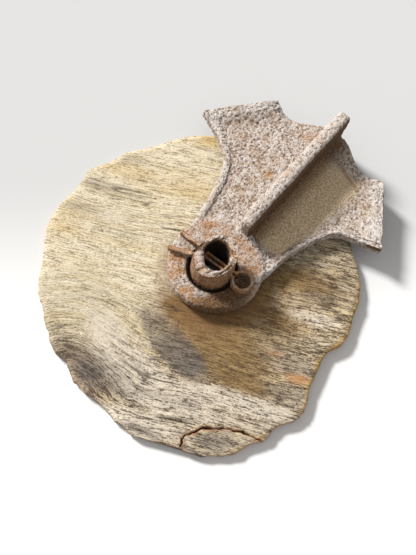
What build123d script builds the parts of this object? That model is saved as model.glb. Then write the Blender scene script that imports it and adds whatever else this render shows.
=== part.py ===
"""Rusted cast-iron vane turning on a hollow spindle in a round wooden board. Millimetres, +Z up.

The origin is on the spindle's axis, at the back face of the board. The board lies flat, the spindle
stands up through it, and the vane turns on the spindle between a wear washer and a split pin.
"""

import os
from math import cos, radians, sin, tan

from build123d import *

# Board
BOARD_THICKNESS = 16.0
BOARD_EDGE_CHAMFER = 2.5
BOARD_OUTLINE = [  # (degrees from +X, radius) round the broken, weathered rim
    (0, 190), (15, 187), (35, 186), (55, 190), (72, 195), (88, 199), (102, 198), (112, 194), (124, 201),
    (133, 204), (138, 211), (145, 207), (155, 212), (170, 212), (176, 209), (184, 212), (201, 211),
    (209, 213), (216, 209), (222, 214), (230, 210), (244, 220), (252, 217), (258.5, 215), (262, 220),
    (270, 224), (277, 222), (281, 216), (288, 213), (291.5, 205), (298, 207), (305, 200), (310, 186),
    (319, 176), (326, 173), (331, 183), (342, 186), (352, 190),
]
BOARD_CRACK = [(-36, -226), (-33, -202), (-18, -196), (-6, -191), (14, -191), (34, -195), (60, -205)]
CRACK_WIDTH = 1.6
CRACK_DEPTH = 9.0

# Spindle, with the flange that is let into the back of the board
SPINDLE_RADIUS = 26.0
SPINDLE_BORE_RADIUS = 17.0
REAR_BORE_RADIUS = 18.0
REAR_BORE_DEPTH = 30.0
SPINDLE_END_RADIUS = 27.5
SPINDLE_STANDS_ABOVE_HUB = 36.5
SPINDLE_END_SLOPE = 17.0
SPINDLE_HIGH_SIDE = 10.0
FLANGE_RADIUS = 52.0
FLANGE_THICKNESS = 5.0

# Wood screws through the flange
SCREW_COUNT = 4
SCREW_RADIUS = 2.5
SCREW_HEAD_RADIUS = 5.0
SCREW_HEAD_HEIGHT = 2.5
SCREW_LENGTH = 13.0
SCREW_SLOT_WIDTH = 1.2
SCREW_SLOT_DEPTH = 1.0

# Wear washer between the board and the hub
WASHER_RADIUS = 44.0
WASHER_THICKNESS = 3.0

# Vane casting. Outlines are (along the rib, across it to the left), from the spindle's axis
VANE_ANGLE = 50.0
HUB_RADIUS = 60.0
HUB_OFFSET = 8.0
HUB_HEIGHT = 17.0
HUB_EDGE_ROUND = 2.5
PLATE_THICKNESS = 9.0
PLATE_LIFT = 2.0
LEFT_SIDE = [
    (22, 56), (46, 61), (65, 65), (89, 70), (117, 80), (135, 94), (144, 107), (154, 127), (163, 152),
]
LEFT_SCALLOP = [(243, 88), (238, 73), (237, 57), (243, 43), (253, 28)]
LEFT_LIP_WIDTH = 9.0
RIGHT_SIDE = [
    (28, -55), (52, -58), (78, -61), (100, -68), (121, -76), (139, -87), (148, -103), (161, -145),
]
RIGHT_SCALLOP = [(240, -91), (238, -75), (238, -60), (243, -46), (254, -29)]
RIGHT_LIP_WIDTH = 7.0
LIP_HEIGHT = 5.0
WING_CORNER_ROUND = 6.0
END_LIP_HEIGHT = 11.0
END_LIP_WIDTH = 15.0
END_LIP_SETBACK = 14.0
RIB_START = 60.5
RIB_END = 262.5
RIB_WIDTH = 15.0
RIB_HEIGHT = 47.0
RIB_TOP_ROUND = 5.0

# Split pin through the spindle
PIN_ANGLE = -37.0
PIN_OFFSET = 6.0
PIN_STRIP = 3.5
PIN_WIDTH = 11.0
PIN_GAP = 2.5
PIN_EYE_RADIUS = 13.6
PIN_FAR_LEG_SPREAD = 5.0
PIN_NEAR_LEG_SPREAD = 20.0
PIN_BEND_START = 12.0

# Clearances
SHAFT_CLEARANCE = 3.0
SEAT_CLEARANCE = 0.3
FACE_CLEARANCE = 0.3
SLOT_CLEARANCE = 0.5
LEG_CLEARANCE = 2.0

# Heights of the stack on the board
hub_bottom = BOARD_THICKNESS + WASHER_THICKNESS + FACE_CLEARANCE
hub_top = hub_bottom + HUB_HEIGHT
plate_bottom = hub_bottom + PLATE_LIFT
plate_top = plate_bottom + PLATE_THICKNESS
rib_top = plate_top + RIB_HEIGHT
pin_bottom = hub_top + FACE_CLEARANCE
spindle_top = hub_top + SPINDLE_STANDS_ABOVE_HUB
screw_circle = (SPINDLE_RADIUS + FLANGE_RADIUS) / 2

rib_direction = (cos(radians(VANE_ANGLE)), sin(radians(VANE_ANGLE)), 0)
pin_direction = (cos(radians(PIN_ANGLE)), sin(radians(PIN_ANGLE)), 0)


def vane_plane(height):
    """Horizontal plane whose x axis runs out along the rib."""
    return Plane(origin=(0, 0, height), x_dir=rib_direction, z_dir=(0, 0, 1))


def pin_plane(height):
    """Horizontal plane whose x axis runs from the spindle's axis towards the split pin's eye."""
    return Plane(origin=(0, 0, height), x_dir=pin_direction, z_dir=(0, 0, 1))


def around(radius, angle):
    """Point at a radius and an angle in degrees."""
    return (radius * cos(radians(angle)), radius * sin(radians(angle)))


def spindle_radius_at(height):
    """Outer radius of the spindle, which flares from the hub's face to its mushroomed end."""
    share = max(0.0, (height - hub_top) / (spindle_top - hub_top))
    return SPINDLE_RADIUS + share * (SPINDLE_END_RADIUS - SPINDLE_RADIUS)


# ---------------------------------------------------------------- board
with BuildPart() as board:
    with BuildSketch(Plane.XY):
        with BuildLine():
            Spline(*[around(radius, angle) for angle, radius in BOARD_OUTLINE], periodic=True)
        make_face()
    extrude(amount=BOARD_THICKNESS)
    chamfer(board.faces().sort_by(Axis.Z)[-1].edges(), length=BOARD_EDGE_CHAMFER)
    with BuildSketch(Plane.XY):
        Circle(SPINDLE_RADIUS + SEAT_CLEARANCE)
    extrude(amount=BOARD_THICKNESS, mode=Mode.SUBTRACT)
    with BuildSketch(Plane.XY):
        Circle(FLANGE_RADIUS + SEAT_CLEARANCE)
    extrude(amount=FLANGE_THICKNESS, mode=Mode.SUBTRACT)
    with BuildSketch(Plane.XY):
        with PolarLocations(screw_circle, SCREW_COUNT, start_angle=45):
            Circle(SCREW_RADIUS)
    extrude(amount=SCREW_LENGTH, mode=Mode.SUBTRACT)
    with BuildSketch(Plane.XY.offset(BOARD_THICKNESS - CRACK_DEPTH)):
        with BuildLine():
            Polyline(*BOARD_CRACK)
        trace(line_width=CRACK_WIDTH)
    extrude(amount=CRACK_DEPTH, mode=Mode.SUBTRACT)
board.part.label = "board"

# ---------------------------------------------------------------- spindle
slot_width = 2 * PIN_STRIP + PIN_GAP + (SPINDLE_RADIUS - PIN_BEND_START) * (
    tan(radians(PIN_NEAR_LEG_SPREAD)) + tan(radians(PIN_FAR_LEG_SPREAD))
) + 2 * SLOT_CLEARANCE
slot_centre = PIN_OFFSET - (SPINDLE_RADIUS - PIN_BEND_START) * (
    tan(radians(PIN_NEAR_LEG_SPREAD)) - tan(radians(PIN_FAR_LEG_SPREAD))
) / 2
end_rise = SPINDLE_END_RADIUS * tan(radians(SPINDLE_END_SLOPE))

with BuildPart() as spindle:
    with BuildSketch(Plane.XZ):
        with BuildLine():
            Polyline(
                (REAR_BORE_RADIUS, 0),
                (FLANGE_RADIUS, 0),
                (FLANGE_RADIUS, FLANGE_THICKNESS),
                (SPINDLE_RADIUS, FLANGE_THICKNESS),
                (SPINDLE_RADIUS, hub_top),
                (SPINDLE_END_RADIUS, spindle_top),
                (SPINDLE_END_RADIUS, spindle_top + end_rise),
                (SPINDLE_BORE_RADIUS, spindle_top + end_rise),
                (SPINDLE_BORE_RADIUS, REAR_BORE_DEPTH),
                (REAR_BORE_RADIUS, REAR_BORE_DEPTH),
                close=True,
            )
        make_face()
    revolve(axis=Axis.Z)
    with BuildSketch(pin_plane(pin_bottom - SLOT_CLEARANCE)):
        with Locations((0, slot_centre)):
            Rectangle(4 * SPINDLE_RADIUS, slot_width)
    extrude(amount=PIN_WIDTH + 2 * SLOT_CLEARANCE, mode=Mode.SUBTRACT)
    with Locations(Plane(origin=(0, 0, 0), z_dir=(0, 0, -1))):
        with PolarLocations(screw_circle, SCREW_COUNT, start_angle=45):
            CounterSinkHole(SCREW_RADIUS, SCREW_HEAD_RADIUS, depth=FLANGE_THICKNESS)
    high_side = around(1, SPINDLE_HIGH_SIDE)
    slope = tan(radians(SPINDLE_END_SLOPE))
    end_plane = Plane(
        origin=(0, 0, spindle_top), z_dir=(-slope * high_side[0], -slope * high_side[1], 1)
    )
    split(bisect_by=end_plane, keep=Keep.BOTTOM)
spindle.part.label = "spindle"

# ---------------------------------------------------------------- flange screws
with BuildPart() as flange_screws:
    with BuildSketch(Plane.XY):
        with PolarLocations(screw_circle, SCREW_COUNT, start_angle=45):
            Circle(SCREW_RADIUS)
    extrude(amount=SCREW_LENGTH)
    with BuildSketch(Plane.XY):
        with PolarLocations(screw_circle, SCREW_COUNT, start_angle=45):
            Circle(SCREW_HEAD_RADIUS)
    extrude(amount=SCREW_HEAD_HEIGHT, taper=45)
    with BuildSketch(Plane.XY):
        with PolarLocations(screw_circle, SCREW_COUNT, start_angle=45):
            Rectangle(2 * SCREW_HEAD_RADIUS, SCREW_SLOT_WIDTH)
    extrude(amount=SCREW_SLOT_DEPTH, mode=Mode.SUBTRACT)
flange_screws.part.label = "flange_screws"

# ---------------------------------------------------------------- wear washer
with BuildPart() as wear_washer:
    with BuildSketch(Plane.XY.offset(BOARD_THICKNESS)):
        Circle(WASHER_RADIUS)
        Circle(SPINDLE_RADIUS + SEAT_CLEARANCE, mode=Mode.SUBTRACT)
    extrude(amount=WASHER_THICKNESS)
wear_washer.part.label = "wear_washer"

# ---------------------------------------------------------------- vane
with BuildSketch() as plate_outline:
    with BuildLine():
        left_side = Spline(*LEFT_SIDE)
        Line(LEFT_SIDE[-1], LEFT_SCALLOP[0])
        left_scallop = Spline(*LEFT_SCALLOP, (RIB_END, RIB_WIDTH / 2))
        right_side = Spline(*RIGHT_SIDE)
        Line(RIGHT_SIDE[-1], RIGHT_SCALLOP[0])
        right_scallop = Spline(*RIGHT_SCALLOP, (RIB_END, -RIB_WIDTH / 2))
        Line(left_scallop @ 1, right_scallop @ 1)
        Polyline(left_side @ 0, (0, 0), right_side @ 0)
    make_face()
    wing_corners = [
        plate_outline.vertices().sort_by_distance(scallop[0])[0]
        for scallop in (LEFT_SCALLOP, RIGHT_SCALLOP)
    ]
    fillet(wing_corners, radius=WING_CORNER_ROUND)

with BuildSketch() as side_lips:
    for side, lip_width in ((LEFT_SIDE, LEFT_LIP_WIDTH), (RIGHT_SIDE, RIGHT_LIP_WIDTH)):
        with BuildLine():
            Spline(*side)
        trace(line_width=2 * lip_width)
    add(plate_outline.sketch, mode=Mode.INTERSECT)


def end_lip_section(tip, corner, distance, height, width):
    """Face across the turned-up end of a wing, at a distance from the wing's outer tip."""
    along = (Vector(*corner) - Vector(*tip)).normalized()
    across = along.cross(Vector(0, 0, 1))
    inward = across if across.X < 0 else -across
    foot = Vector(*tip) + along * distance
    outline = [
        (foot, plate_top - 1),
        (foot, plate_top + height),
        (foot + inward * width / 4, plate_top + height),
        (foot + inward * width, plate_top - 1),
    ]
    corners = [vane_plane(level).from_local_coords(point) for point, level in outline]
    return Face(Wire.make_polygon(corners))


with BuildPart() as end_lips:
    for side, scallop, lip_width in (
        (LEFT_SIDE, LEFT_SCALLOP, LEFT_LIP_WIDTH),
        (RIGHT_SIDE, RIGHT_SCALLOP, RIGHT_LIP_WIDTH),
    ):
        tip, corner = side[-1], scallop[0]
        edge_length = (Vector(*corner) - Vector(*tip)).length
        low_end = end_lip_section(tip, corner, END_LIP_SETBACK, LIP_HEIGHT, lip_width)
        high_end = end_lip_section(tip, corner, edge_length, END_LIP_HEIGHT, END_LIP_WIDTH)
        loft([low_end, high_end], ruled=True)
    with BuildSketch(vane_plane(plate_top - 1)):
        add(plate_outline.sketch)
    extrude(amount=END_LIP_HEIGHT + 1, mode=Mode.INTERSECT)

with BuildPart() as hub:
    with BuildSketch(vane_plane(hub_bottom)):
        with Locations((HUB_OFFSET, 0)):
            Circle(HUB_RADIUS)
    extrude(amount=HUB_HEIGHT)
    fillet(hub.faces().sort_by(Axis.Z)[-1].edges(), radius=HUB_EDGE_ROUND)

rib_side = Plane(origin=(0, 0, 0), x_dir=rib_direction, z_dir=(rib_direction[1], -rib_direction[0], 0))

with BuildPart() as vane:
    with BuildSketch(vane_plane(plate_bottom)):
        add(plate_outline.sketch)
    extrude(amount=PLATE_THICKNESS)
    with BuildSketch(vane_plane(plate_top)):
        add(side_lips.sketch)
    extrude(amount=LIP_HEIGHT)
    add(end_lips.part)
    add(hub.part)
    with BuildSketch(vane_plane(hub_bottom)):
        Circle(SPINDLE_RADIUS + SHAFT_CLEARANCE)
    extrude(amount=HUB_HEIGHT, mode=Mode.SUBTRACT)
    with BuildSketch(rib_side):
        with Locations(((RIB_START + RIB_END) / 2, (plate_bottom + rib_top) / 2)):
            Rectangle(RIB_END - RIB_START, rib_top - plate_bottom)
    extrude(amount=RIB_WIDTH / 2, both=True)
    fillet(vane.faces().sort_by(Axis.Z)[-1].edges(), radius=RIB_TOP_ROUND)
vane.part.label = "vane"

# ---------------------------------------------------------------- split pin
half_offset = (PIN_GAP + PIN_STRIP) / 2
eye_centre_radius = PIN_EYE_RADIUS - PIN_STRIP / 2
spindle_edge = spindle_radius_at(pin_bottom + PIN_WIDTH + SLOT_CLEARANCE)
eye_distance = spindle_edge + SEAT_CLEARANCE + PIN_EYE_RADIUS
mouth = eye_distance - (eye_centre_radius**2 - half_offset**2) ** 0.5
leg_reach = RIB_START - LEG_CLEARANCE
legs = [(half_offset, PIN_FAR_LEG_SPREAD), (-half_offset, -PIN_NEAR_LEG_SPREAD)]


def leg_end(y, spread):
    """Tip of a leg that turns off by an angle at the bend and ends at the legs' common reach."""
    run, rise = cos(radians(spread)), sin(radians(spread))
    half_sum = PIN_BEND_START * run + y * rise
    length = (half_sum**2 + leg_reach**2 - PIN_BEND_START**2 - y**2) ** 0.5 - half_sum
    return (-PIN_BEND_START - length * run, y + length * rise)


with BuildPart() as split_pin:
    with BuildSketch(pin_plane(pin_bottom)):
        with Locations((eye_distance, PIN_OFFSET)):
            Circle(PIN_EYE_RADIUS)
            Circle(PIN_EYE_RADIUS - PIN_STRIP, mode=Mode.SUBTRACT)
        with Locations((mouth, PIN_OFFSET)):
            Rectangle(PIN_STRIP * 2, PIN_GAP, mode=Mode.SUBTRACT)
        for side_offset, spread in legs:
            y = PIN_OFFSET + side_offset
            with BuildLine():
                Polyline((mouth, y), (-PIN_BEND_START, y), leg_end(y, spread))
            trace(line_width=PIN_STRIP)
    extrude(amount=PIN_WIDTH)
split_pin.part.label = "split_pin"

# ---------------------------------------------------------------- export
os.makedirs("parts", exist_ok=True)
export_step(board.part, "parts/board.step")
export_step(spindle.part, "parts/spindle.step")
export_step(flange_screws.part, "parts/flange_screws.step")
export_step(wear_washer.part, "parts/wear_washer.step")
export_step(vane.part, "parts/vane.step")
export_step(split_pin.part, "parts/split_pin.step")

print("hub top", hub_top, "plate top", plate_top, "rib top", rib_top, "spindle top", spindle_top)
print("split pin's eye centre, along and across the pin", eye_distance, PIN_OFFSET)
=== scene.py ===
import itertools
import math

import bmesh
import bpy
import numpy as np
from mathutils import Matrix, Vector


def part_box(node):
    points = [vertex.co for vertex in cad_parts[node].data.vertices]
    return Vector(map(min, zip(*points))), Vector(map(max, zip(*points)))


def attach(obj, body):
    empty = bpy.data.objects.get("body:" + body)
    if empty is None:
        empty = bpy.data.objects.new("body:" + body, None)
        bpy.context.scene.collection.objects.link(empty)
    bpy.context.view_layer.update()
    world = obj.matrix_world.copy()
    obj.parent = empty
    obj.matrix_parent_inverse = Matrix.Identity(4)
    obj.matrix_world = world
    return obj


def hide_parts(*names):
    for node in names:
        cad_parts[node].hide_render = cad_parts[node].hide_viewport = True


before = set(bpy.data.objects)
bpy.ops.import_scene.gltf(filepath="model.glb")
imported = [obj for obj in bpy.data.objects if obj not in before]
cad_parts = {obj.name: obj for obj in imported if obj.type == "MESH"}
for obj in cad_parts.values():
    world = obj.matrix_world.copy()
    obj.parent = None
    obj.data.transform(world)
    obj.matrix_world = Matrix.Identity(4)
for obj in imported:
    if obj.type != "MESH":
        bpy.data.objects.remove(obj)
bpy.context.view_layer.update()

# Shapes below are worked out in millimetres, in the CAD's own frame, and stored in metres.
MM = 0.001

# ------------------------------------------------------------------ repeatable noise


def lattice(cell, seed):
    """Repeatable random numbers from 0 to 1, one for each whole-number lattice point."""
    mixed = np.full(len(cell), (seed * 2654435761 + 97) & 0xFFFFFFFF, np.uint32)
    for axis, prime in enumerate((374761393, 668265263, 2246822519)):
        mixed = mixed + cell[:, axis].astype(np.uint32) * np.uint32(prime)
        mixed = (mixed ^ (mixed >> np.uint32(13))) * np.uint32(1274126177)
    mixed = mixed ^ (mixed >> np.uint32(16))
    return mixed.astype(np.float64) / 2**32


def noise(points, seed=0):
    """Smooth noise from -1 to 1 at each row of points, with features about one unit across."""
    low = np.floor(points)
    part = points - low
    fade = part**3 * (part * (part * 6 - 15) + 10)
    total = np.zeros(len(points))
    for corner in itertools.product((0, 1), repeat=3):
        weight = np.prod(np.where(corner, fade, 1 - fade), axis=1)
        total += weight * lattice(low.astype(np.int64) + corner, seed)
    return 2 * total - 1


def fractal(points, octaves, seed=0):
    """Noise of several octaves, from about -1 to 1."""
    total = np.zeros(len(points))
    for octave in range(octaves):
        total += noise(points * 2**octave, seed + octave) / 2**octave
    return total / (2 - 0.5 ** (octaves - 1))


def nearest_seed(points, seed=0):
    """Distance from each point to the nearest of randomly scattered points, one in each unit cell."""
    low = np.floor(points).astype(np.int64)
    nearest = np.full(len(points), 9.0)
    for step in itertools.product((-1, 0, 1), repeat=3):
        cell = low + step
        spot = np.stack([cell[:, axis] + lattice(cell, seed + 31 * axis) for axis in range(3)], axis=1)
        nearest = np.minimum(nearest, np.linalg.norm(points - spot, axis=1))
    return nearest


def smooth(low, high, value):
    """0 below low, 1 above high, and a smooth step between them. low may be the larger."""
    share = np.clip((value - low) / (high - low), 0, 1)
    return share * share * (3 - 2 * share)


def blob(x, y, centre, length, width, degrees=0.0):
    """1 at a centre, falling to 0 outside an ellipse of this half-length, half-width and angle."""
    turn = math.radians(degrees)
    along = (x - centre[0]) * math.cos(turn) + (y - centre[1]) * math.sin(turn)
    across = (y - centre[1]) * math.cos(turn) - (x - centre[0]) * math.sin(turn)
    return smooth(1.0, 0.0, np.hypot(along / length, across / width) * 0.8)


def spots(x, y, places):
    """Sum of soft ellipses, each a strength, a centre, a half-length, a half-width and an angle."""
    return sum(strength * blob(x, y, centre, *shape) for strength, centre, *shape in places)


def waves_of(x, y, length, width=None):
    """Rows of flat noise coordinates, with features of this length and width in millimetres."""
    return np.stack([x / length, y / (width or length), 0 * x], axis=1)


def distance_to_line(x, y, corners):
    """Distance from each point to an open line of straight runs."""
    nearest = np.full(np.shape(x), 1e9)
    for (x0, y0), (x1, y1) in itertools.pairwise(corners):
        run = np.array([x1 - x0, y1 - y0], float)
        share = np.clip(((x - x0) * run[0] + (y - y0) * run[1]) / (run @ run), 0, 1)
        nearest = np.minimum(nearest, np.hypot(x - x0 - share * run[0], y - y0 - share * run[1]))
    return nearest


# ------------------------------------------------------------------ meshes


def vertices_mm(mesh):
    """A mesh's vertices as rows of millimetres."""
    flat = np.empty(len(mesh.vertices) * 3, np.float32)
    mesh.vertices.foreach_get("co", flat)
    return flat.reshape(-1, 3).astype(float) / MM


def normals_of(mesh):
    flat = np.empty(len(mesh.vertices) * 3, np.float32)
    mesh.vertex_normals.foreach_get("vector", flat)
    return flat.reshape(-1, 3).astype(float)


def set_vertices_mm(mesh, points):
    mesh.vertices.foreach_set("co", (points * MM).astype(np.float32).ravel())
    mesh.update()


def paint(mesh, name, values):
    """Stores one number for each vertex, for the materials to read."""
    mesh.attributes.new(name, "FLOAT", "POINT").data.foreach_set("value", values.astype(np.float32))


def paint_vectors(mesh, name, vectors):
    flat = vectors.astype(np.float32).ravel()
    mesh.attributes.new(name, "FLOAT_VECTOR", "POINT").data.foreach_set("vector", flat)


def add_object(name, mesh):
    piece = bpy.data.objects.new(name, mesh)
    bpy.context.scene.collection.objects.link(piece)
    return piece


def remeshed(node, name, voxel_mm, smoothing):
    """A copy of a CAD node with an even skin of small faces and slightly rounded edges."""
    piece = add_object(name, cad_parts[node].data.copy())
    skin = piece.modifiers.new("skin", "REMESH")
    skin.mode = "VOXEL"
    skin.voxel_size = voxel_mm * MM
    rounding = piece.modifiers.new("rounding", "SMOOTH")
    rounding.factor = 0.5
    rounding.iterations = smoothing
    seen = piece.evaluated_get(bpy.context.evaluated_depsgraph_get())
    mesh = bpy.data.meshes.new_from_object(seen)
    piece.modifiers.clear()
    piece.data = mesh
    mesh.name = name
    mesh.materials.clear()
    mesh.polygons.foreach_set("use_smooth", [True] * len(mesh.polygons))
    return piece


def relax(mesh, points, share, rounds):
    """Points moved towards their neighbours' middle, by a share from 0 to 1 each, this many times."""
    flat = np.empty(len(mesh.edges) * 2, np.int32)
    mesh.edges.foreach_get("vertices", flat)
    one, other = flat.reshape(-1, 2).T
    joined = np.bincount(one, minlength=len(points)) + np.bincount(other, minlength=len(points))
    for _ in range(rounds):
        total = np.empty_like(points)
        for axis in range(3):
            total[:, axis] = np.bincount(one, points[other, axis], len(points))
            total[:, axis] += np.bincount(other, points[one, axis], len(points))
        points = points + (0.6 * share)[:, None] * (total / joined[:, None] - points)
    return points


# ------------------------------------------------------------------ material nodes


class Nodes:
    """Short names for building one material's nodes."""

    def __init__(self, name):
        self.material = bpy.data.materials.new(name)
        self.material.use_nodes = True
        self.tree = self.material.node_tree
        self.tree.nodes.clear()
        self.shader = self.add("ShaderNodeBsdfPrincipled")
        output = self.add("ShaderNodeOutputMaterial")
        self.tree.links.new(self.shader.outputs[0], output.inputs["Surface"])

    def add(self, kind, **inputs):
        node = self.tree.nodes.new(kind)
        for name, value in inputs.items():
            self.set(node.inputs[name.replace("_", " ")], value)
        return node

    def set(self, socket, value):
        if isinstance(value, bpy.types.NodeSocket):
            self.tree.links.new(value, socket)
        else:
            socket.default_value = value

    def attribute(self, name, vector=False):
        node = self.add("ShaderNodeAttribute")
        node.attribute_name = name
        return node.outputs["Vector" if vector else "Fac"]

    def position(self):
        return self.add("ShaderNodeTexCoord").outputs["Object"]

    def stretched(self, vector, scale):
        node = self.add("ShaderNodeMapping", Vector=vector)
        node.inputs["Scale"].default_value = scale
        return node.outputs[0]

    def noise(self, vector, scale, detail=3.0, roughness=0.55, distortion=0.0):
        node = self.add("ShaderNodeTexNoise", Vector=vector, Scale=scale, Detail=detail)
        node.inputs["Roughness"].default_value = roughness
        node.inputs["Distortion"].default_value = distortion
        return node.outputs["Fac"]

    def ramp(self, value, low, high, start=0.0, end=1.0):
        """value mapped from low..high to start..end, clamped."""
        node = self.add("ShaderNodeMapRange", Value=value)
        node.interpolation_type = "SMOOTHSTEP"
        for name, number in (("From Min", low), ("From Max", high), ("To Min", start), ("To Max", end)):
            node.inputs[name].default_value = number
        return node.outputs[0]

    def maths(self, operation, *values):
        node = self.add("ShaderNodeMath")
        node.operation = operation
        for socket, value in zip(node.inputs, values):
            self.set(socket, value)
        return node.outputs[0]

    def mix(self, share, first, second):
        node = self.add("ShaderNodeMix")
        node.data_type = "RGBA"
        self.set(node.inputs["Factor"], share)
        for socket, value in ((node.inputs[6], first), (node.inputs[7], second)):
            self.set(socket, value if isinstance(value, bpy.types.NodeSocket) else (*value, 1.0))
        return node.outputs[2]

    def blend(self, first, second, share):
        """first and second added together, second taking this share of the sum."""
        kept = self.maths("MULTIPLY", first, 1.0 - share)
        return self.maths("ADD", kept, self.maths("MULTIPLY", second, share))

    def bump(self, height, strength, distance_mm):
        node = self.add("ShaderNodeBump", Height=height)
        node.inputs["Strength"].default_value = strength
        node.inputs["Distance"].default_value = distance_mm * MM
        return node.outputs[0]

    def finish(self, colour, roughness, normal):
        self.set(self.shader.inputs["Base Color"], colour)
        self.set(self.shader.inputs["Roughness"], roughness)
        self.set(self.shader.inputs["Normal"], normal)
        self.shader.inputs["Specular IOR Level"].default_value = 0.3
        return self.material


# Layers over the wood's plain tones, in order: mask, colour of the pale fibres, colour of the dark grain.
WOOD_LAYERS = (
    ("honey", (0.72, 0.49, 0.15), (0.40, 0.25, 0.08)),
    ("pale", (0.79, 0.70, 0.575), None),
    # Painted shade, partly brown weathering: browner where the iron shades the board.
    ("shade", (0.37, 0.245, 0.105), (0.145, 0.085, 0.035)),
    ("stain", (0.24, 0.20, 0.165), (0.075, 0.06, 0.05)),
)
CHECK_TONE = (0.06, 0.045, 0.032)
FRESH_WOOD_TONE = (0.60, 0.28, 0.105)
RUST_STAIN_AND_SHADE_TONE = (0.22, 0.115, 0.045)
CREVICE_TONE = (0.035, 0.022, 0.012)
WOOD_BUMP_MM = 5.5

# Each iron's worn high spots, body, pits and bright rust.
CAST_IRON_TONES = ((0.93, 0.90, 0.885), (0.60, 0.53, 0.49), (0.25, 0.185, 0.145), (0.52, 0.26, 0.10))
FORGED_IRON_TONES = ((0.80, 0.70, 0.63), (0.40, 0.29, 0.225), (0.08, 0.045, 0.03), (0.52, 0.22, 0.06))
WARM_IRON_TONE = (0.55, 0.42, 0.28)
SHADE_AND_PIT_IRON_TONE = (0.03, 0.016, 0.008)
IRON_BUMP_MM = 6.5


def wood_tones(n, grain, weather):
    """The colours of the pale fibres and of the dark grain between them."""
    broad = n.noise(n.stretched(grain, (0.008, 0.07, 0.05)), 1.0, 3.0)
    light = n.mix(weather, (0.85, 0.765, 0.59), (0.66, 0.545, 0.40))
    light = n.mix(n.ramp(broad, 0.42, 0.66, 0.0, 0.5), light, (0.73, 0.58, 0.31))
    deep = n.mix(weather, (0.34, 0.26, 0.145), (0.10, 0.07, 0.045))
    for mask, pale_tone, dark_tone in WOOD_LAYERS:
        share = n.attribute(mask)
        light = n.mix(share, light, pale_tone)
        if dark_tone:
            deep = n.mix(share, deep, dark_tone)
    return light, deep


def wood_material():
    """Weathered softwood: pale fibres over darker grain, with bleached, stained and shaded areas."""
    n = Nodes("weathered_wood")
    grain = n.attribute("grain", vector=True)
    streak = n.noise(n.stretched(grain, (0.032, 0.52, 0.3)), 1.0, 4.0, 0.7, 0.4)
    clump = n.noise(n.stretched(grain, (0.05, 0.15, 0.1)), 1.0, 2.0, 0.6)
    dash = n.noise(n.stretched(grain, (0.10, 0.68, 0.5)), 1.0, 3.0, 0.7)
    grit = n.noise(n.stretched(grain, (0.32, 0.95, 0.8)), 1.0, 3.0, 0.75)
    weather, pale = n.attribute("weather"), n.attribute("pale")
    light, deep = wood_tones(n, grain, weather)

    fibres = n.blend(n.blend(streak, dash, 0.40), grit, 0.42)
    level = n.maths("MULTIPLY_ADD", weather, -0.03, n.maths("ADD", fibres, 0.03))
    level = n.maths("MULTIPLY_ADD", pale, 0.03, level)
    uneven = n.maths("MULTIPLY", n.maths("SUBTRACT", clump, 0.5), n.ramp(weather, 0.0, 1.0, 0.12, 0.22))
    level = n.maths("ADD", level, uneven)
    colour = n.mix(n.ramp(level, 0.455, 0.545), deep, light)
    checks = n.maths("MULTIPLY", n.ramp(dash, 0.43, 0.34), n.ramp(weather, 0.1, 0.9, 0.3, 0.8))
    colour = n.mix(checks, colour, CHECK_TONE)
    fresh = n.maths("MULTIPLY", n.attribute("tan"), n.ramp(grit, 0.3, 0.6, 0.5, 1.0))
    colour = n.mix(fresh, colour, FRESH_WOOD_TONE)
    # Rust stain round the hub, and painted shade below it.
    colour = n.mix(n.attribute("rust"), colour, RUST_STAIN_AND_SHADE_TONE)
    colour = n.mix(n.attribute("crevice"), colour, CREVICE_TONE)
    relief = n.blend(n.blend(streak, dash, 0.5), grit, 0.45)
    return n.finish(colour, n.ramp(streak, 0.3, 0.7, 0.72, 0.92), n.bump(relief, 1.0, WOOD_BUMP_MM))


def iron_material(name, tones):
    """Rust-crusted iron: pale worn high spots, a brown body, dark pits and brighter rust in patches."""
    highlight, body, pit, rust = tones
    n = Nodes(name)
    place = n.position()
    broad = n.noise(place, 38.0, 3.0, 0.6)
    patch = n.noise(place, 110.0, 3.0, 0.6)
    grit = n.noise(place, 520.0, 3.0, 0.7)
    tone = n.blend(grit, n.attribute("height"), 0.25)
    colour = n.mix(n.ramp(tone, 0.39, 0.49), pit, body)
    colour = n.mix(n.ramp(tone, 0.46, 0.60, 0.0, 0.95), colour, highlight)
    colour = n.mix(n.ramp(broad, 0.44, 0.64, 0.0, 0.28), colour, WARM_IRON_TONE)
    speckled = n.maths("MULTIPLY", n.ramp(patch, 0.5, 0.66, 0.1, 0.8), n.ramp(grit, 0.62, 0.40, 0.12, 0.32))
    colour = n.mix(n.maths("MULTIPLY", speckled, n.ramp(broad, 0.45, 0.6, 0.25, 0.9)), colour, rust)
    blotches = n.maths("MULTIPLY", n.ramp(patch, 0.36, 0.58, 0.4, 1.0), n.ramp(grit, 0.64, 0.40, 0.5, 1.0))
    colour = n.mix(n.maths("MULTIPLY", n.attribute("rust"), blotches), colour, rust)
    # The sheltered patch's smooth tan skin, partly painted light: its colour is lighter to make up for the
    # rib's shadow over it.
    lightened_smooth_skin = n.mix(n.ramp(grit, 0.38, 0.60), (0.40, 0.285, 0.16), (0.76, 0.60, 0.395))
    colour = n.mix(n.attribute("tan"), colour, lightened_smooth_skin)
    # Deep brown from the "brown" mask: partly rust, partly painted shade on faces turned from the light and
    # in cast shadows.
    shaded_skin = n.mix(n.ramp(grit, 0.4, 0.6), (0.085, 0.042, 0.016), (0.25, 0.13, 0.05))
    colour = n.mix(n.attribute("brown"), colour, shaded_skin)
    # Painted shade: near-black inside bores, on faces turned down and on parts sunk in the hub, and in the
    # deepest pits.
    colour = n.mix(n.attribute("dark"), colour, SHADE_AND_PIT_IRON_TONE)
    relief = n.maths("MULTIPLY", grit, n.ramp(n.attribute("tan"), 0.0, 1.0, 1.0, 0.35))
    return n.finish(colour, n.ramp(grit, 0.3, 0.7, 0.75, 0.95), n.bump(relief, 1.0, IRON_BUMP_MM))


# ------------------------------------------------------------------ board

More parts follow.
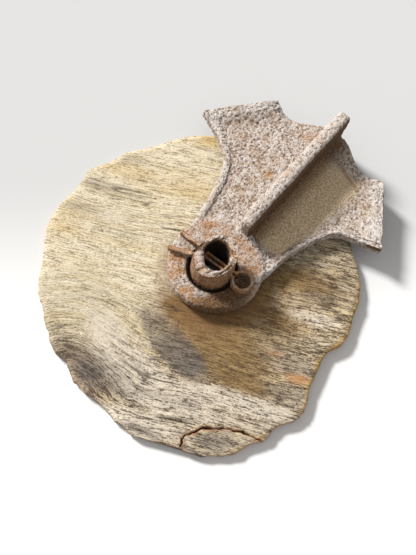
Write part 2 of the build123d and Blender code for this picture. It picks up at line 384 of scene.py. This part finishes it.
BOARD_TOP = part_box("board")[1].z / MM
GRAIN_DEGREES = -13.0
ROW_STEP = 1.15
COLUMNS = 205
HOLE_RADIUS = 26.3
RECESS_RADIUS = 52.3
RECESS_DEPTH = 5.0
WALL_DEPTHS = (0.05, 0.16, 0.32, 0.48, 0.64, 0.8, 0.92, 1.0)
CRACK = [(-36, -226), (-33, -202), (-18, -196), (-6, -191), (14, -191), (34, -195), (60, -205)]
HIGHEST_RELIEF = 0.9
FLAT_RADIUS = 60.0

# Soft spots on the board: strength, centre, half-length, half-width and the angle of their length.
PALE_SPOTS = (
    (0.6, (-126, -74), 26, 52, 14),
    (0.9, (-98, -116), 84, 36, -40),
    (0.8, (-60, -150), 80, 24, -22),
    (0.8, (-5, -150), 70, 16, -10),
    (0.7, (-85, -188), 55, 14, -17),
    (0.8, (52, -166), 60, 13, -19),
    (0.75, (122, -55), 60, 14, -12),
    (0.5, (-122, 72), 42, 17, -18),
)
STAIN_SPOTS = (
    (0.45, (-143, 118), 45, 12, -14),
    (0.4, (-165, 86), 32, 10, -12),
    (0.3, (-92, 154), 34, 8, -14),
    (0.5, (142, -29), 34, 11, -12),
    (0.5, (92, -110), 60, 16, -18),
    (0.5, (88, -150), 40, 14, -20),
    (0.85, (4, -207), 36, 14, -4),
    (0.35, (-50, -157), 55, 10, -10),
    (0.85, (-143, -121), 80, 27, -33),
    (0.9, (-84, -194), 30, 6, -20),
    (0.5, (-150, -142), 34, 26, -45),
)
HONEY_SPOTS = (
    (0.7, (2, 190), 30, 14, 0),
    (0.35, (-105, 138), 60, 18, -14),
    (0.3, (-182, 62), 30, 30, 0),
    (0.35, (-22, 118), 50, 24, -14),
    (0.45, (10, -92), 80, 30, -20),
)
# Mostly painted shade, browning the board where the hub, spindle and right wing shade it; the last spot, at
# the lower left, is brown weathering.
SHADE_SPOTS = (
    (0.95, (18, -92), 92, 52, -28),
    (0.7, (88, -62), 60, 34, -30),
    (0.75, (108, -6), 105, 38, -14),
    (0.5, (40, -140), 70, 18, -16),
    (0.75, (-150, -128), 60, 26, -52),
)
FRESH_SPOTS = (
    (0.95, (105, -132), 19, 8, -16),
    (0.35, (78, -100), 18, 6, -16),
)


def rim_points():
    """The board's outline at its back face, in order round the rim."""
    points = vertices_mm(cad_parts["board"].data)
    rim = points[(points[:, 2] < 0.1) & (np.hypot(points[:, 0], points[:, 1]) > 2 * RECESS_RADIUS)]
    angles = np.arctan2(rim[:, 1], rim[:, 0])
    radii = np.hypot(rim[:, 0], rim[:, 1])
    order = np.argsort(angles)
    dense = np.linspace(-math.pi, math.pi, 2400, endpoint=False)
    radius = np.interp(dense, angles[order], radii[order], period=2 * math.pi)
    x, y = radius * np.cos(dense), radius * np.sin(dense)
    ragged = 0.9 * fractal(waves_of(x, y, 11), 3, 5) - 0.9
    notches = smooth(0.35, 0.75, noise(waves_of(x, y, 16), 11))
    lower_left = blob(x, y, (-130, -150), 110, 60, -45)
    ragged -= notches * (1.2 + 2.6 * lower_left)
    return np.stack([(radius + ragged) * np.cos(dense), (radius + ragged) * np.sin(dense)], axis=1)


def board_marks(x, y):
    """Masks from about 0 to 1 for where the board is weathered, bleached, stained and so on."""
    r = np.hypot(x, y)
    low_right = smooth(-60, 90, 0.75 * x - y)
    bottom = smooth(-110, -170, y)
    lower_left = blob(x, y, (-160, -122), 95, 42, -50)
    torn = fractal(waves_of(x, y, 13), 3, 12)
    big_stain = smooth(0.30, 0.62, blob(x, y, (-46, -94), 88, 31, -50) + 0.2 * torn)
    big_stain *= 0.72 + 0.28 * blob(x, y, (-26, -118), 50, 30, -48)
    pale = 0.45 * smooth(-130, -185, y) + spots(x, y, PALE_SPOTS)
    # The last term is painted shade on the board below and right of the hub, in the shadow of the hub and
    # spindle.
    shade = spots(x, y, SHADE_SPOTS) + 0.75 * smooth(88, 62, r) * smooth(30, -30, y - 0.6 * x)
    return {
        "weather": np.clip(0.05 + 0.85 * low_right + 0.7 * bottom + 0.9 * lower_left, 0, 1),
        "pale": smooth(0.12, 0.72, pale + 0.25 * torn),
        "stain": big_stain + spots(x, y, STAIN_SPOTS),
        "honey": spots(x, y, HONEY_SPOTS),
        "shade": smooth(0.1, 0.8, shade + 0.16 * torn),
        "tan": spots(x, y, FRESH_SPOTS),
        # Rust stain round the hub; the second term is painted shade below the hub.
        "rust": 0.35 * smooth(76, 60, r) + 0.4 * smooth(104, 70, r) * smooth(0, -40, y),
    }


def board_relief(x, y, along, across, weather):
    """Height of the weathered face above its mean level, and how deep in a check or crack each point is."""
    rough = 0.35 + 0.9 * weather
    relief = 0.45 * noise(waves_of(along, across, 70, 7.5), 21)
    relief += 0.36 * noise(waves_of(along, across, 45, 3.4), 22)
    relief += 0.24 * noise(waves_of(along, across, 26, 1.9), 23)
    relief *= rough
    knobbly = blob(x, y, (-130, -125), 90, 55, -45)
    flat = waves_of(x, y, 5.5, 3.8)
    relief += (0.12 + 0.8 * knobbly) * fractal(flat, 2, 31)
    checks = noise(waves_of(along, across, 60, 3.2), 41)
    patches = noise(waves_of(along, across, 60, 26), 42)
    amount = smooth(0.15, 0.6, patches + 0.75 * weather - 0.35)
    check = smooth(0.16, 0.02, np.abs(checks - 0.25)) * amount
    crack = distance_to_line(x + 1.5 * noise(flat, 51), y + 1.5 * noise(flat, 52), CRACK)
    gap = smooth(1.5, 0.4, crack)
    waves = waves_of(along, across, 24, 11)
    relief += 0.9 * smooth(0.5, 1.0, weather) * smooth(-20, -120, y) * fractal(waves, 2, 43)
    relief -= 1.25 * check + 4.5 * gap
    near_rim = smooth(-60, -200, y + 0.4 * x) * smooth(150, 215, np.hypot(x, y))
    relief -= 2.2 * near_rim
    return relief, np.clip(0.75 * check + gap, 0, 1), crack


def board_rows(rim):
    """Points in rows along the grain, each row from rim to rim, with their places along and across it."""
    turn = math.radians(GRAIN_DEGREES)
    along_axis = np.array([math.cos(turn), math.sin(turn)])
    across_axis = np.array([-math.sin(turn), math.cos(turn)])
    rim_along, rim_across = rim @ along_axis, rim @ across_axis
    next_along, next_across = np.roll(rim_along, -1), np.roll(rim_across, -1)
    levels = np.arange(rim_across.min() + 0.5, rim_across.max() - 0.4, ROW_STEP)
    along = np.empty((len(levels), COLUMNS))
    for row, level in enumerate(levels):
        crosses = (rim_across - level) * (next_across - level) <= 0
        share = (level - rim_across[crosses]) / (next_across - rim_across)[crosses]
        cuts = rim_along[crosses] + share * (next_along - rim_along)[crosses]
        along[row] = np.linspace(cuts.min(), cuts.max(), COLUMNS)
    along, across = along.ravel(), np.repeat(levels, COLUMNS)
    x, y = (np.outer(along, along_axis) + np.outer(across, across_axis)).T
    return x, y, along, across


def bent_grain(x, y, along, across):
    """Each point's place across the grain, once the grain's lines swirl and wander."""
    swirl = blob(x, y, (-120, -120), 120, 80, -45)
    bent = across + 0.55 * (along + 40) * swirl * smooth(60, -160, along)
    bent += 2.6 * swirl * fractal(waves_of(along, across, 17), 2, 6)
    return bent + 5.0 * noise(waves_of(along, across, 130, 70), 3)


def distance_to_rim(x, y, rim):
    """How far each point lies inside the rim."""
    angles = np.arctan2(rim[:, 1], rim[:, 0])
    order = np.argsort(angles)
    radii = np.hypot(rim[order, 0], rim[order, 1])
    return np.interp(np.arctan2(y, x), angles[order], radii, period=2 * math.pi) - np.hypot(x, y)


def board_faces(x, y):
    """Faces of the top, left open at the spindle, and the border's points in order round it."""
    index = np.arange(len(x)).reshape(-1, COLUMNS)
    corners = (index[:-1, :-1], index[:-1, 1:], index[1:, 1:], index[1:, :-1])
    quads = np.stack(corners, axis=-1).reshape(-1, 4)
    centre = np.hypot(x[quads].mean(1), y[quads].mean(1))
    ring = np.concatenate([index[0, :-1], index[:-1, -1], index[-1, :0:-1], index[:0:-1, 0]])
    return quads[centre > HOLE_RADIUS], ring


def build_board():
    """One weathered slab: rows of points along the grain, a ragged wall and a flat, recessed back."""
    rim = rim_points()
    x, y, along, across = board_rows(rim)
    marks = board_marks(x, y)
    bent = bent_grain(x, y, along, across)
    relief, marks["crevice"], crack = board_relief(x, y, along, bent, marks["weather"])
    inside = distance_to_rim(x, y, rim)
    relief -= 1.6 * smooth(5.0, 0.0, inside)
    relief = np.where(np.hypot(x, y) < FLAT_RADIUS, np.minimum(relief, 0), relief)
    z = BOARD_TOP - HIGHEST_RELIEF + np.minimum(relief, HIGHEST_RELIEF)
    top = np.stack([x, y, z], axis=1)
    quads, ring = board_faces(x, y)
    wall, wall_quads = board_wall(top[ring], ring, len(top))

    fresh_side = smooth(-20, 60, x) * smooth(30, -40, y)
    marks["honey"] += 0.8 * fresh_side * smooth(6.0, 1.0, inside + 3 * noise(waves_of(x, y, 9), 4))
    marks["tan"] += 0.6 * smooth(4.0, 1.5, crack + 1.5 * noise(waves_of(x, y, 7), 7))
    marks["tan"][ring] = np.maximum(marks["tan"][ring], 0.2 + 0.3 * fresh_side[ring])

    mesh = bpy.data.meshes.new("board_slab")
    mesh.from_pydata(np.concatenate([top, wall]) * MM, [], quads.tolist() + wall_quads.tolist())
    copies = np.tile(ring, len(WALL_DEPTHS))
    below = np.append(0 * x, 2.0 * (BOARD_TOP - wall[:, 2]))
    grain = np.stack([np.append(along, along[copies]), np.append(bent, bent[copies]), below], axis=1)
    paint_vectors(mesh, "grain", grain)
    for name, values in marks.items():
        paint(mesh, name, np.clip(np.append(values, values[copies]), 0, 1))
    close_board(mesh)
    piece = add_object("board_slab", mesh)
    mesh.materials.append(wood_material())
    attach(piece, "base")
    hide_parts("board")


def board_wall(top_ring, ring, first_free):
    """Rings of points down the board's ragged edge, and the faces that join them to the top's border."""
    outward = top_ring[:, :2] / np.linalg.norm(top_ring[:, :2], axis=1)[:, None]
    rows, quads, above = [], [], ring
    for number, depth in enumerate(WALL_DEPTHS):
        row = top_ring.copy()
        row[:, 2] = top_ring[:, 2] * (1 - depth)
        layered = fractal(row / (10.0, 10.0, 2.6), 3, 61)
        swell = 1.0 * math.sin(math.pi * min(1.0, depth * 1.1 + 0.12)) - 0.4
        row[:, :2] += outward * (swell + 1.2 * layered * smooth(0.0, 0.2, depth))[:, None]
        below = first_free + number * len(ring) + np.arange(len(ring))
        quads.append(np.stack([above, below, np.roll(below, -1), np.roll(above, -1)], axis=1))
        rows.append(row)
        above = below
    return np.concatenate(rows), np.concatenate(quads)


def close_board(mesh):
    """Adds the hole for the spindle and the flat back with its flange recess."""
    slab = bmesh.new()
    slab.from_mesh(mesh)
    bmesh.ops.delete(slab, geom=[v for v in slab.verts if not v.link_faces], context="VERTS")
    border = [e for e in slab.edges if e.is_boundary]
    hole = [e for e in border if e.verts[0].co.xy.length < 1.5 * HOLE_RADIUS * MM]
    rim = [e for e in border if e.verts[0].co.xy.length > 1.5 * HOLE_RADIUS * MM]
    for vertex in {v for e in hole for v in e.verts}:
        vertex.co.xy = vertex.co.xy.normalized() * HOLE_RADIUS * MM
    for radius, level in ((HOLE_RADIUS, RECESS_DEPTH), (RECESS_RADIUS, RECESS_DEPTH), (RECESS_RADIUS, 0.0)):
        made = bmesh.ops.extrude_edge_only(slab, edges=hole)["geom"]
        hole = [g for g in made if isinstance(g, bmesh.types.BMEdge) and g.is_boundary]
        for vertex in (g for g in made if isinstance(g, bmesh.types.BMVert)):
            vertex.co.xy = vertex.co.xy.normalized() * radius * MM
            vertex.co.z = level * MM
    bmesh.ops.triangle_fill(slab, edges=rim + hole, use_beauty=True)
    bmesh.ops.recalc_face_normals(slab, faces=slab.faces)
    for face in slab.faces:
        face.smooth = face.normal.z > -0.9
    slab.to_mesh(mesh)
    slab.free()


# ------------------------------------------------------------------ iron

VANE_DEGREES = 50.0
PLATE_TOP = 30.3
HUB_TOP = 36.3
BEAD = [(159, 169), (189, 117)]
WING_CORNERS = (((163, 152), (243, 88)), ((161, -145), (240, -91)))
RELAX_ROUNDS = 42

# Centres and radii of the vane's brighter rust spots.
RUST_SPOTS = (
    ((-7, 58), 15), ((-5, 47), 11), ((-34, 8), 15), ((-28, 20), 10), ((72, 136), 10),
    ((131, 190), 12), ((155, 103), 10), ((164, 179), 8), ((36, -20), 13),
)

# Face size in millimetres and rounds of smoothing for each remeshed piece.
VANE_SKIN = (1.25, 8)
SPINDLE_SKIN = (0.82, 3)
SPLIT_PIN_SKIN = (0.62, 4)


def finish_iron(piece, node, body, material, marks):
    """Gives a remeshed iron piece its painted masks, its material and its place in the frame."""
    for name, values in marks.items():
        paint(piece.data, name, np.clip(values, 0, 1))
    piece.data.materials.append(material)
    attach(piece, body)
    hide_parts(node)


def end_banks(along, across):
    """Extra height of the plate where it runs up into the thick lips at the wings' ends."""
    rise = np.zeros(len(along)) + 9.0
    for corner, far in WING_CORNERS:
        inward = distance_to_line(along, across, [corner, far])
        rise += np.where(inward < 30, 7.5 * np.clip(1 - (inward - 12) / 18, 0, 1) ** 2, -9.0)
    return rise


def vane_axes(x, y):
    """Distances along the vane from the spindle's axis, and to the left of the rib's middle."""
    turn = math.radians(VANE_DEGREES)
    return x * math.cos(turn) + y * math.sin(turn), y * math.cos(turn) - x * math.sin(turn)


def sheltered_wing(along, across):
    """1 over the part of the right wing that the rib shelters."""
    ends = smooth(62, 72, along) * smooth(232, 210, along)
    return smooth(-6, -14, across) * ends * smooth(-76, -58, across + 0.12 * (along - 150))


def cast_ends(mesh, cast, along, across):
    """Points with the plate banked up to its end lips, and heights before the rib's inner end is lowered."""
    z = cast[:, 2]
    upper = (z > PLATE_TOP - 1.5) & (z < PLATE_TOP + 12)
    z = np.where(upper, np.maximum(z, PLATE_TOP + end_banks(along, across)), z)
    feet = smooth(PLATE_TOP - 2, PLATE_TOP, z) * smooth(PLATE_TOP + 9, PLATE_TOP + 5, z)
    nose = smooth(80, 66, along) * smooth(54, 60, along) * smooth(14, 9, np.abs(across)) * (z > HUB_TOP - 3)
    points = relax(mesh, np.column_stack([cast[:, :2], z]), np.maximum(feet, nose), RELAX_ROUNDS)
    points[:, 2] -= 9 * nose * smooth(HUB_TOP, HUB_TOP + 30, z)
    return points, z


def vane_rust(points, x, y, lip):
    """Bright rust: a thin film all over, patches on the boss and scattered spots."""
    rust = 0.25 * (1 - 0.6 * lip)
    rust += 0.85 * smooth(66, 52, np.hypot(x, y)) * smooth(-0.6, 0.4, noise(points / 16, 75))
    for spot, size in RUST_SPOTS:
        rust += 0.75 * blob(x, y, spot, size, size)
    return rust


def vane_brown(x, y, z, level, normals):
    """Deep brown, part rust and part painted shade: the rib's shaded right side, its shadow beside it, the
    boss's lower side.
    """
    along, across = vane_axes(x, y)
    rib_side = smooth(-4.5, -7.0, across) * smooth(PLATE_TOP + 1, PLATE_TOP + 5, z) * (along > 58)
    rib_side *= smooth(0.6, 0.2, normals[:, 2])
    beside_rib = smooth(-32, -9, across) * smooth(0, -6, across) * level * (along > 62)
    lower_hub = smooth(10, 35, x * 0.55 - y * 0.83) * smooth(64, 58, np.hypot(x, y))
    lower_hub *= smooth(-58, -20, x) * smooth(62, 30, x)
    return 0.97 * rib_side + 0.85 * beside_rib + 0.9 * lower_hub


def build_vane():
    """The casting: pitted and crusted all over, smoother where the rib shelters the right wing."""
    piece = remeshed("vane", "vane_casting", *VANE_SKIN)
    cast, normals = vertices_mm(piece.data), normals_of(piece.data)
    x, y, cast_z = cast.T
    r = np.hypot(x, y)
    along, across = vane_axes(x, y)
    face_up = smooth(0.3, 0.8, normals[:, 2])
    level = smooth(PLATE_TOP + 4, PLATE_TOP + 2, cast_z)
    sheltered = face_up * level * sheltered_wing(along, across)
    bead = smooth(3.0, 0.8, distance_to_line(x, y, BEAD)) * face_up * (cast_z < HUB_TOP)
    crusty = 1 - 0.75 * sheltered
    pitting = smooth(0.58, 0.14, nearest_seed(cast / 3.8, 73))
    height = crusty * (0.38 * fractal(cast / 6.0, 2, 72) + 0.55 * noise(cast / 2.7, 74) - 1.0 * pitting)
    points, z = cast_ends(piece.data, cast, along, across)
    rib_top = smooth(48, 62, z)
    offset = 0.55 * fractal(points / 28, 2, 71) + height + 1.6 * bead + 1.1 * rib_top
    set_vertices_mm(piece.data, points + normals * offset[:, None])

    lip = smooth(PLATE_TOP + 2.5, PLATE_TOP + 4.5, z) * (z < HUB_TOP + 8) * (r > 66)
    rib_foot = smooth(5.0, 1.0, np.abs(across - 9)) * smooth(PLATE_TOP + 7, PLATE_TOP + 1, z) * (along > 66)
    # Painted shade: black inside the bore and darker on faces turned down.
    bore_and_underside_shade = smooth(33, 31, r) + 0.5 * smooth(-0.2, -0.8, normals[:, 2])
    marks = {
        "height": 0.60 + height / 1.9 + 0.12 * lip + 0.22 * rib_top,
        "rust": vane_rust(points, x, y, lip) + 0.9 * bead + 0.6 * rib_foot,
        # Smooth tan skin, its colour painted lighter against the rib's shadow.
        "tan": 0.9 * sheltered * (1 - 0.7 * bead),
        "brown": vane_brown(x, y, z, level, normals) + 0.4 * rib_foot,
        "dark": bore_and_underside_shade + 0.35 * smooth(0.75, 1.0, pitting) * crusty,
    }
    material = iron_material("rusted_cast_iron", CAST_IRON_TONES)
    finish_iron(piece, "vane", "vane", material, marks)


def build_spindle():
    """The hollow stub, with its hammered, broken end and off-centre mouth. Returns its material."""
    piece = remeshed("spindle", "spindle_stub", *SPINDLE_SKIN)
    points, normals = vertices_mm(piece.data), normals_of(piece.data)
    x, y, z = points.T
    r, angle = np.hypot(x, y), np.arctan2(y, x)
    towards, sideways = (x + y) * 0.7071, (x - y) * 0.7071
    upper = smooth(44, 66, z)
    mouth = smooth(24.0, 18.0, r)
    towards = towards + upper * (2.2 + 1.2 * mouth)
    sideways = sideways * (1 - 0.10 * upper * (1 - mouth))
    points[:, 0] = (towards + sideways) * 0.7071 * (1 - 0.08 * mouth * upper) + 0.8 * mouth * upper
    points[:, 1] = (towards - sideways) * 0.7071 * (1 + 0.17 * mouth * upper)
    end = smooth(56, 64, z) * smooth(0.2, 0.7, normals[:, 2])
    near_side = 0.5 + 0.5 * np.cos(angle - math.radians(235))
    ridges = noise(np.stack([towards / 14, sideways / 3.2, 0 * z], axis=1), 87)
    chips = smooth(0.5, 0.1, nearest_seed(points / 6.5, 83))
    points[:, 2] -= end * (3.4 * smooth(20, 27, r) * near_side + 0.9 * chips)
    points[:, 2] += end * (1.0 * ridges + 0.9 * fractal(points / 5.0, 2, 84))
    crust = fractal(points / 4.6, 2, 81)
    grains = noise(points / 2.0, 82)
    height = 0.62 * crust + 0.55 * grains
    swell = 0.6 * fractal(points / (12, 12, 18), 2, 85) * smooth(HUB_TOP, HUB_TOP + 8, z)
    clear = smooth(HUB_TOP - 18, HUB_TOP - 12, z)
    set_vertices_mm(piece.data, points + normals * (clear * (height + swell))[:, None])
    side = (1 - end) * smooth(0.5, 0.1, np.abs(normals[:, 2]))
    hollow = end * (0.35 * chips + 0.8 * smooth(-0.05, -0.5, ridges))
    marks = {
        "height": 0.48 + height / 1.6 + 0.25 * end - 0.6 * hollow,
        "rust": 0.35 * smooth(-0.2, 0.5, noise(points / 15, 86)) + 1.1 * side,
        "brown": 0.4 * side + 0.45 * hollow,
        # Painted shade: black inside the mouth and on the part sunk in the hub.
        "dark": smooth(21, 18.5, r) * smooth(73, 62, z) + 0.5 * (1 - clear),
    }
    material = iron_material("rusted_forging", FORGED_IRON_TONES)
    finish_iron(piece, "spindle", "base", material, marks)
    return material


def build_split_pin(material):
    """The folded strip, its legs worn and crusted until they look like rods."""
    piece = remeshed("split_pin", "split_pin_strip", *SPLIT_PIN_SKIN)
    points, normals = vertices_mm(piece.data), normals_of(piece.data)
    x, y, z = points.T
    floor = z.min()
    leg = smooth(-24, -30, x)
    points[:, 2] = floor + (z - floor) * (1 - 0.34 * leg)
    swell = 1.0 * leg * smooth(0.7, 0.2, np.abs(normals[:, 2]))
    height = 0.24 * fractal(points / 4.0, 2, 91) + 0.14 * noise(points / 1.7, 92)
    set_vertices_mm(piece.data, points + normals * (height + swell)[:, None])
    # Painted light and shade: faces turned up are lifted towards the pale high-spot colour, and the sides
    # take a brown shade that is partly rust.
    top = smooth(0.3, 0.9, normals[:, 2])
    marks = {
        "height": 0.46 + 1.5 * height + 0.25 * top,
        "rust": 0.95 + 0.3 * noise(points / 9, 93),
        "brown": 0.3 * (1 - top),
    }
    finish_iron(piece, "split_pin", "base", material, marks)


def steel_material():
    """Hidden fittings: dull, dark, lightly rusted steel."""
    n = Nodes("dark_steel")
    place = n.position()
    patches = n.noise(place, 90.0, 4.0, 0.65)
    grit = n.noise(place, 900.0, 3.0, 0.6)
    colour = n.mix(n.ramp(patches, 0.42, 0.6), (0.10, 0.075, 0.06), (0.30, 0.14, 0.06))
    return n.finish(colour, n.ramp(patches, 0.4, 0.6, 0.55, 0.85), n.bump(grit, 0.5, 0.3))


def finish_fittings():
    """The wear washer and the flange's screws keep their CAD shape."""
    material = steel_material()
    for node in ("wear_washer", "flange_screws"):
        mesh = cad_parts[node].data
        mesh.materials.clear()
        mesh.materials.append(material)


# ------------------------------------------------------------------ floor, light and camera

FLOOR_SIZE = 8.0
LIGHT_TRAVEL = Vector((50, -45, -48))
LIGHT_SPREAD_DEGREES = 12.5
LIGHT_STRENGTH = 5.9
LIGHT_TONE = (1.0, 0.97, 0.92)
SKY_TONE = (1.0, 0.97, 0.93, 1.0)
SKY_STRENGTH = 0.55
VIEW_TILT_DEGREES = 21.0
VIEW_TURN_DEGREES = 12.0
VIEW_DISTANCE = 1.0
VIEW_TARGET = Vector((-3.6, -6.5, 20.0)) * MM
LENS = 69.9


def floor_material():
    """Plain pale studio paper, a little greyer at the far side."""
    n = Nodes("studio_paper")
    parts = n.add("ShaderNodeSeparateXYZ", Vector=n.position())
    far = n.ramp(parts.outputs["Y"], -0.12, 0.14)
    tone = n.mix(n.noise(n.position(), 3.0), (0.70, 0.71, 0.73), (0.72, 0.73, 0.75))
    colour = n.mix(far, tone, (0.477, 0.487, 0.502))
    return n.finish(colour, 0.9, n.bump(n.noise(n.position(), 700.0), 0.05, 0.1))


def build_stage():
    """A flat floor, one soft sun from the upper left and an even pale sky."""
    half = FLOOR_SIZE / 2
    mesh = bpy.data.meshes.new("floor")
    corners = [(-half, -half, 0), (half, -half, 0), (half, half, 0), (-half, half, 0)]
    mesh.from_pydata(corners, [], [(0, 1, 2, 3)])
    mesh.materials.append(floor_material())
    add_object("floor", mesh)

    light = bpy.data.lights.new("key", "SUN")
    light.angle = math.radians(LIGHT_SPREAD_DEGREES)
    light.energy = LIGHT_STRENGTH
    light.color = LIGHT_TONE
    key = bpy.data.objects.new("key", light)
    key.location = -LIGHT_TRAVEL.normalized()
    key.rotation_euler = LIGHT_TRAVEL.to_track_quat("-Z", "Y").to_euler()
    bpy.context.scene.collection.objects.link(key)

    world = bpy.data.worlds.new("studio")
    world.use_nodes = True
    sky = world.node_tree.nodes["Background"]
    sky.inputs["Color"].default_value = SKY_TONE
    sky.inputs["Strength"].default_value = SKY_STRENGTH
    bpy.context.scene.world = world
    bpy.context.scene.view_settings.view_transform = "Standard"


def build_camera():
    """Looks down on the board from a little below and left of straight above."""
    tilt, turn = math.radians(VIEW_TILT_DEGREES), math.radians(VIEW_TURN_DEGREES)
    forward = Vector((math.sin(tilt) * math.sin(turn), math.sin(tilt) * math.cos(turn), -math.cos(tilt)))
    up = (Vector((0, 1, 0)) - forward * forward.y).normalized()
    right = forward.cross(up)
    data = bpy.data.cameras.new("camera")
    data.sensor_fit = "HORIZONTAL"
    data.sensor_width = 36.0
    data.lens = LENS
    camera = bpy.data.objects.new("camera", data)
    axes = Matrix((right, up, -forward)).transposed().to_4x4()
    camera.matrix_world = Matrix.Translation(VIEW_TARGET - forward * VIEW_DISTANCE) @ axes
    bpy.context.scene.collection.objects.link(camera)
    bpy.context.scene.camera = camera


build_board()
build_vane()
build_split_pin(build_spindle())
finish_fittings()
build_stage()
build_camera()
